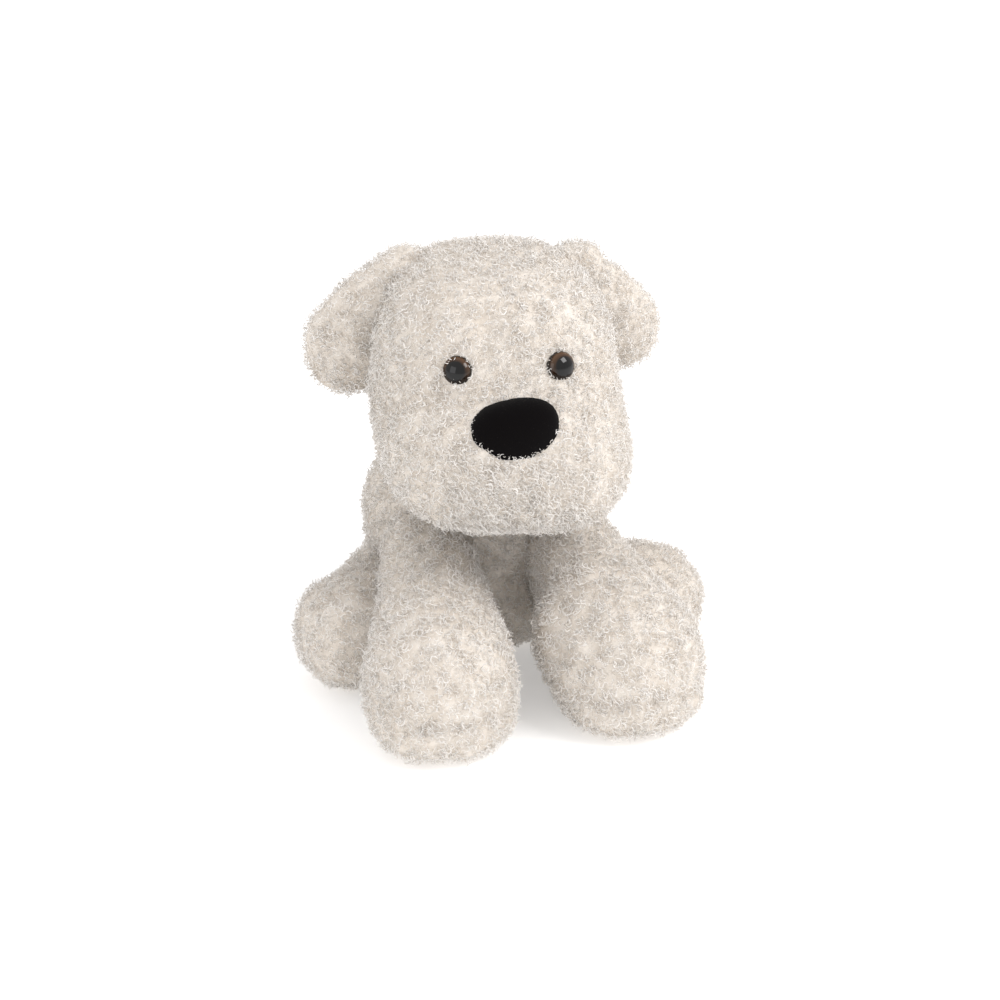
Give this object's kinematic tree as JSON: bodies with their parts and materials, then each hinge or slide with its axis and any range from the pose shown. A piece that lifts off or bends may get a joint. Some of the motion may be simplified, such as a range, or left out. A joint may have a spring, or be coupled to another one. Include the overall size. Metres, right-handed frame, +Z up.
{
  "type": "plush dog",
  "caption": "Seated plush dog of curly pile, with a stuffed head, flap ears, padded nose, domed eyes, and legs, head, ears and tail that flex at their seams.",
  "frame": {"origin": "middle of the bounding box, on the surface that the dog sits on", "axes": "+Z up, -Y the way the dog faces, +X the dog's left"},
  "size_m": [0.1794, 0.2078, 0.191],
  "materials": {
    "curly_pile": "creamy white curled pile, soft and matt with fine bright strands",
    "black_velour": "short black velour, padded",
    "amber_plastic": "clear brown moulded plastic, high gloss",
    "black_plastic": "black moulded plastic, high gloss",
    "washer_plastic": "natural white locking washer",
    "fibrefill": "white polyester fibre stuffing",
    "pellet_bag_cloth": "plain woven inner bag filled with plastic beads",
    "sewing_thread": "cream polyester thread",
    "satin_tape": "blank white satin tape"
  },
  "bodies": {
    "torso": {"torso_left_panel": "curly_pile", "torso_right_panel": "curly_pile", "seat_panel": "curly_pile", "pellet_bag": "pellet_bag_cloth", "torso_stuffing": "fibrefill", "care_label": "satin_tape", "closing_seam_thread": "sewing_thread"},
    "neck": {"neck_gathering_thread": "sewing_thread"},
    "head": {"head_gusset": "curly_pile", "chin_panel": "curly_pile", "head_left_panel": "curly_pile", "head_right_panel": "curly_pile", "head_stuffing": "fibrefill", "nose_cover": "black_velour", "nose_padding": "fibrefill", "eye_left_back": "black_plastic", "eye_left_lens": "amber_plastic", "eye_left_washer": "washer_plastic", "eye_right_back": "black_plastic", "eye_right_lens": "amber_plastic", "eye_right_washer": "washer_plastic"},
    "tail": {"tail_left_panel": "curly_pile", "tail_right_panel": "curly_pile", "tail_stuffing": "fibrefill"},
    "front_leg_left": {"front_leg_left_outer_panel": "curly_pile", "front_leg_left_inner_panel": "curly_pile", "front_leg_left_stuffing": "fibrefill"},
    "hind_leg_left": {"hind_leg_left_outer_panel": "curly_pile", "hind_leg_left_inner_panel": "curly_pile", "hind_leg_left_stuffing": "fibrefill"},
    "ear_left": {"ear_left_front_panel": "curly_pile", "ear_left_back_panel": "curly_pile", "ear_left_batting": "fibrefill"},
    "front_leg_right": {"front_leg_right_outer_panel": "curly_pile", "front_leg_right_inner_panel": "curly_pile", "front_leg_right_stuffing": "fibrefill"},
    "hind_leg_right": {"hind_leg_right_outer_panel": "curly_pile", "hind_leg_right_inner_panel": "curly_pile", "hind_leg_right_stuffing": "fibrefill"},
    "ear_right": {"ear_right_front_panel": "curly_pile", "ear_right_back_panel": "curly_pile", "ear_right_batting": "fibrefill"}
  },
  "joints": [
    {"name": "neck_turn", "type": "hinge", "parent": "torso", "child": "neck", "pos_m": [0.0025, 0.019, 0.082], "axis": [0, 0, 1], "range_deg": [-15, 15], "stiffness_Nm_per_rad": 0.6},
    {"name": "head_nod", "type": "hinge", "parent": "neck", "child": "head", "pos_m": [0.0025, 0.019, 0.082], "axis": [0.9925, -0.1219, 0], "range_deg": [-5, 4], "stiffness_Nm_per_rad": 1.2},
    {"name": "tail_wag", "type": "hinge", "parent": "torso", "child": "tail", "pos_m": [0, 0.076, 0.026], "axis": [0, 0, 1], "range_deg": [-25, 25], "stiffness_Nm_per_rad": 0.05},
    {"name": "front_leg_left_lift", "type": "hinge", "parent": "torso", "child": "front_leg_left", "pos_m": [0.03, -0.002, 0.052], "axis": [-0.9885, -0.151, 0], "range_deg": [0, 16], "stiffness_Nm_per_rad": 0.3},
    {"name": "hind_leg_left_spread", "type": "hinge", "parent": "torso", "child": "hind_leg_left", "pos_m": [0.043, 0.033, 0.031], "axis": [0, 0, 1], "range_deg": [0, 20], "stiffness_Nm_per_rad": 0.3},
    {"name": "ear_left_fold", "type": "hinge", "parent": "head", "child": "ear_left", "pos_m": [0.03514, 0.00995, 0.174], "axis": [0.4176, -0.0798, -0.9051], "range_deg": [-20, 20], "stiffness_Nm_per_rad": 0.05},
    {"name": "front_leg_right_lift", "type": "hinge", "parent": "torso", "child": "front_leg_right", "pos_m": [-0.03, -0.002, 0.052], "axis": [-0.9885, 0.151, 0], "range_deg": [0, 16], "stiffness_Nm_per_rad": 0.3},
    {"name": "hind_leg_right_spread", "type": "hinge", "parent": "torso", "child": "hind_leg_right", "pos_m": [-0.043, 0.033, 0.031], "axis": [0, 0, -1], "range_deg": [0, 20], "stiffness_Nm_per_rad": 0.3},
    {"name": "ear_right_fold", "type": "hinge", "parent": "head", "child": "ear_right", "pos_m": [-0.03136, 0.01812, 0.174], "axis": [-0.4245, 0.0236, -0.9051], "range_deg": [-20, 20], "stiffness_Nm_per_rad": 0.05}
  ]
}
